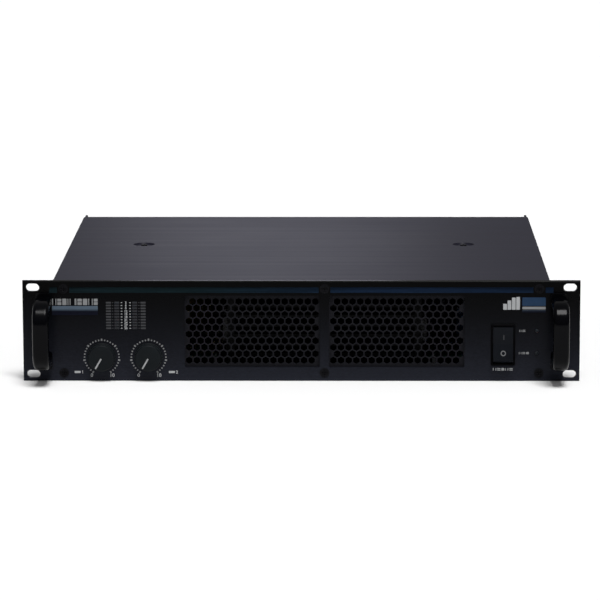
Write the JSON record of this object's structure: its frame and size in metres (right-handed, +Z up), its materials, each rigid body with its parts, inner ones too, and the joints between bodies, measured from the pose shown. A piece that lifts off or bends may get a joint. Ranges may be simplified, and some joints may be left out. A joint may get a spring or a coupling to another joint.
{
  "type": "power amplifier",
  "caption": "Two-unit rack power amplifier with perforated front grilles, level knobs, rocker switch, U handles, flat cover and rear fans and connectors.",
  "frame": {"origin": "middle of the overall footprint, on the surface that the chassis stands on", "axes": "+X to the right seen from the front, +Y from the front panel to the rear, +Z up"},
  "size_m": [0.4826, 0.422, 0.0881],
  "materials": {
    "panel": "black anodised, satin",
    "accent": "blue anodised, bright",
    "grille": "black powder coat",
    "handle": "satin black",
    "black_screw": "black oxide",
    "zinc": "zinc plated",
    "pot": "plated",
    "shaft": "turned",
    "knob": "fine matte",
    "board": "green solder mask",
    "meter_light": "smoked lens",
    "status_light": "smoked lens",
    "switch": "moulded",
    "rocker": "moulded",
    "chassis": "satin black powder coat",
    "cover": "satin black powder coat",
    "winding": "taped winding",
    "heatsink": "black anodised",
    "transistor": "moulded",
    "relay": "moulded",
    "capacitor": "sleeved",
    "rectifier": "moulded",
    "fan": "moulded",
    "guard": "plated wire",
    "inlet": "moulded",
    "blade": "plated",
    "breaker": "moulded",
    "breaker_button": "moulded",
    "socket": "black plated",
    "jack": "moulded",
    "latch": "plated",
    "post": "gold plated",
    "cap_black": "moulded",
    "cap_red": "moulded",
    "mode_switch": "plated",
    "slider": "moulded"
  },
  "bodies": {
    "root": {"front_panel": "panel", "accent_strips": "accent", "grille_left": "grille", "grille_right": "grille", "handle_left": "handle", "handle_right": "handle", "handle_screws": "black_screw", "panel_screws": "black_screw", "level_pots": "pot", "pot_nuts": "zinc", "front_board": "board", "meter_leds": "meter_light", "status_leds": "status_light", "power_switch_frame": "switch", "chassis_base": "chassis", "top_cover": "cover", "cover_screws": "black_screw", "rear_panel": "chassis", "rear_screws": "black_screw", "rear_support_left": "chassis", "rear_support_right": "chassis", "transformer": "winding", "transformer_clamp": "zinc", "heatsink_left": "heatsink", "heatsink_right": "heatsink", "amplifier_board_left": "board", "amplifier_board_right": "board", "output_transistors": "transistor", "speaker_relays": "relay", "power_supply_board": "board", "filter_capacitors": "capacitor", "bridge_rectifier": "rectifier", "standoffs": "zinc", "input_board": "board", "fan_frames": "fan", "fan_guards": "guard", "fan_screws": "black_screw", "mains_inlet": "inlet", "mains_pins": "blade", "circuit_breaker": "breaker", "input_sockets": "socket", "jack_sockets": "jack", "speaker_sockets": "socket", "post_studs": "post", "mode_switch_body": "mode_switch"},
    "knob_1": {"level_knob_1": "knob", "level_shaft_1": "shaft"},
    "knob_2": {"level_knob_2": "knob", "level_shaft_2": "shaft"},
    "rocker": {"power_switch_rocker": "rocker"},
    "fan_left": {"fan_rotor_left": "fan"},
    "fan_right": {"fan_rotor_right": "fan"},
    "breaker": {"breaker_button": "breaker_button"},
    "latch_1": {"input_latch_1": "latch"},
    "latch_2": {"input_latch_2": "latch"},
    "cap_1": {"post_cap_1": "cap_black"},
    "cap_2": {"post_cap_2": "cap_red"},
    "cap_3": {"post_cap_3": "cap_black"},
    "cap_4": {"post_cap_4": "cap_red"},
    "mode_slider": {"mode_switch_slider": "slider"}
  },
  "joints": [
    {"name": "level_1_turn", "type": "hinge", "parent": "root", "child": "knob_1", "pos_m": [-0.1732, -0.175, 0.0209], "axis": [0, 1, 0], "range_deg": [0, 300]},
    {"name": "level_2_turn", "type": "hinge", "parent": "root", "child": "knob_2", "pos_m": [-0.1325, -0.175, 0.0209], "axis": [0, 1, 0], "range_deg": [0, 300]},
    {"name": "power_rocker", "type": "hinge", "parent": "root", "child": "rocker", "pos_m": [0.1748, -0.168, 0.03205], "axis": [1, 0, 0], "range_deg": [0, 20]},
    {"name": "fan_left_spin", "type": "hinge", "parent": "root", "child": "fan_left", "pos_m": [-0.022, 0.18, 0.04405], "axis": [0, 1, 0], "continuous": true},
    {"name": "fan_right_spin", "type": "hinge", "parent": "root", "child": "fan_right", "pos_m": [0.062, 0.18, 0.04405], "axis": [0, 1, 0], "continuous": true},
    {"name": "breaker_pop", "type": "slide", "parent": "root", "child": "breaker", "axis": [0, 1, 0], "range_m": [0, 0.004]},
    {"name": "latch_1_press", "type": "slide", "parent": "root", "child": "latch_1", "axis": [0, -1, 0], "range_m": [0, 0.0015], "stiffness_N_per_m": 600},
    {"name": "latch_2_press", "type": "slide", "parent": "root", "child": "latch_2", "axis": [0, -1, 0], "range_m": [0, 0.0015], "stiffness_N_per_m": 600},
    {"name": "cap_1_unscrew", "type": "slide", "parent": "root", "child": "cap_1", "axis": [0, 1, 0], "range_m": [0, 0.005]},
    {"name": "cap_2_unscrew", "type": "slide", "parent": "root", "child": "cap_2", "axis": [0, 1, 0], "range_m": [0, 0.005]},
    {"name": "cap_3_unscrew", "type": "slide", "parent": "root", "child": "cap_3", "axis": [0, 1, 0], "range_m": [0, 0.005]},
    {"name": "cap_4_unscrew", "type": "slide", "parent": "root", "child": "cap_4", "axis": [0, 1, 0], "range_m": [0, 0.005]},
    {"name": "mode_slide", "type": "slide", "parent": "root", "child": "mode_slider", "axis": [0, 0, 1], "range_m": [0, 0.0052]}
  ]
}
